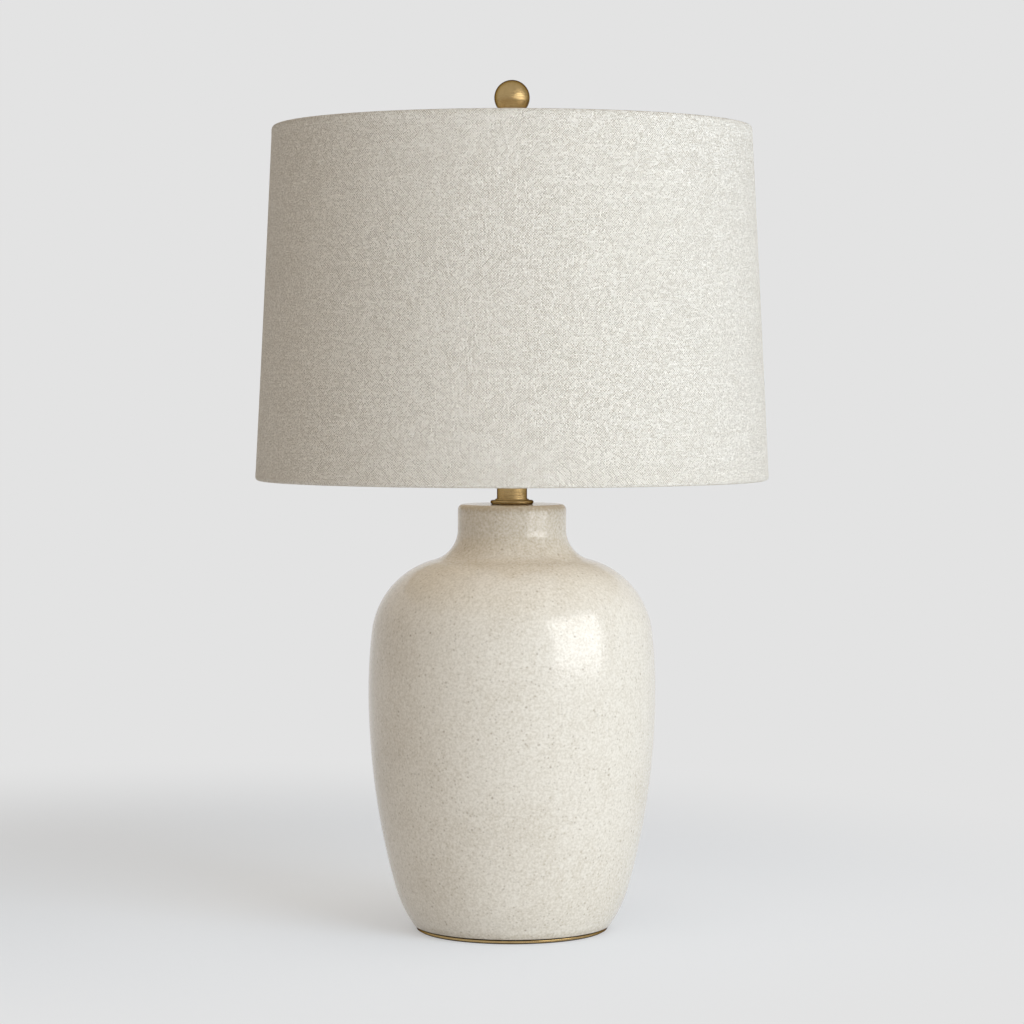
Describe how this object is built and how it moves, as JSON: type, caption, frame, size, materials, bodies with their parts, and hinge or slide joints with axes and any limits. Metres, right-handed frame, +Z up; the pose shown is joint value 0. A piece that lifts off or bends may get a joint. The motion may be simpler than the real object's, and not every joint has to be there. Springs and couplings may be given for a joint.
{
  "type": "table lamp",
  "caption": "Table lamp with a glazed ceramic jar body, a brass neck, a socket and harp, and a tapered linen drum shade held by a ball finial.",
  "frame": {"origin": "middle of the underside, where the felt pad rests on the table", "axes": "+Z up along the lamp's axis, the front faces -Y, +X to the right seen from the front; the cord inlet is at the back, +Y, and the switch knob points along +X"},
  "size_m": [0.4062, 0.406, 0.6735],
  "materials": {
    "felt_dark": "pressed wool felt",
    "antique_brass": "satin antique brass, lacquered",
    "rubber_black": "matt",
    "cream_glaze": "glossy cream glaze with fine tan and dark speckles",
    "zinc_steel": "zinc plated",
    "brass_plate": "brass plated steel, satin",
    "socket_brass": "bright spun brass",
    "nickel_plate": "nickel plated",
    "card_sleeve": "fibre card",
    "moulded_black": "moulded thermoset",
    "knob_black": "moulded, ribbed",
    "bulb_aluminium": "rolled thread, satin",
    "solder": "soldered tip",
    "black_glass": "moulded black glass",
    "frosted_glass": "soft white, frosted inside",
    "linen": "oatmeal linen with slubs, laminated",
    "liner_white": "white styrene sheet",
    "white_wire": "white enamel"
  },
  "bodies": {
    "lamp_body": {"felt_pad": "felt_dark", "base_plate": "antique_brass", "base_gasket": "rubber_black", "jar_body": "cream_glaze", "cord_grommet": "rubber_black", "foot_washer": "zinc_steel", "foot_lock_washer": "zinc_steel", "foot_nut": "zinc_steel", "threaded_pipe": "zinc_steel", "check_ring": "antique_brass", "neck_tube": "antique_brass", "neck_cap": "antique_brass", "harp_saddle": "brass_plate", "saddle_nut": "brass_plate", "harp_wire": "brass_plate", "harp_stud": "brass_plate", "socket_cap": "socket_brass", "cap_set_screw": "zinc_steel", "socket_shell": "socket_brass", "socket_sleeve": "card_sleeve", "socket_insulator": "moulded_black", "screw_shell": "nickel_plate", "centre_contact": "socket_brass", "terminal_screw_live": "socket_brass", "terminal_screw_neutral": "nickel_plate"},
    "switch": {"switch_stem": "socket_brass", "switch_rotor": "moulded_black", "switch_knob": "knob_black"},
    "bulb": {"bulb_contact": "solder", "bulb_insulator": "black_glass", "bulb_screw_base": "bulb_aluminium", "bulb_globe": "frosted_glass"},
    "ferrule_front": {"harp_ferrule_front": "brass_plate"},
    "ferrule_back": {"harp_ferrule_back": "brass_plate"},
    "shade": {"shade_fabric": "linen", "shade_liner": "liner_white", "shade_top_ring": "white_wire", "shade_bottom_ring": "white_wire", "spider_hub": "brass_plate", "spider_arms": "brass_plate"},
    "finial": {"finial_base": "antique_brass", "finial_ball": "antique_brass"}
  },
  "joints": [
    {"name": "switch_turn", "type": "hinge", "parent": "lamp_body", "child": "switch", "pos_m": [0, 0, 0.4], "axis": [1, 0, 0], "continuous": true},
    {"name": "bulb_unscrew", "type": "hinge", "parent": "lamp_body", "child": "bulb", "pos_m": [0, 0, 0.4199], "axis": [0, 0, 1], "range_deg": [0, 1440]},
    {"name": "ferrule_front_lift", "type": "slide", "parent": "lamp_body", "child": "ferrule_front", "axis": [0, 0, 1], "range_m": [0, 0.012]},
    {"name": "ferrule_back_lift", "type": "slide", "parent": "lamp_body", "child": "ferrule_back", "axis": [0, 0, 1], "range_m": [0, 0.012]},
    {"name": "shade_turn", "type": "hinge", "parent": "lamp_body", "child": "shade", "pos_m": [0, 0, 0.625], "axis": [0, 0, 1], "continuous": true},
    {"name": "finial_unscrew", "type": "hinge", "parent": "lamp_body", "child": "finial", "pos_m": [0, 0, 0.6266], "axis": [0, 0, 1], "range_deg": [0, 3600]}
  ]
}
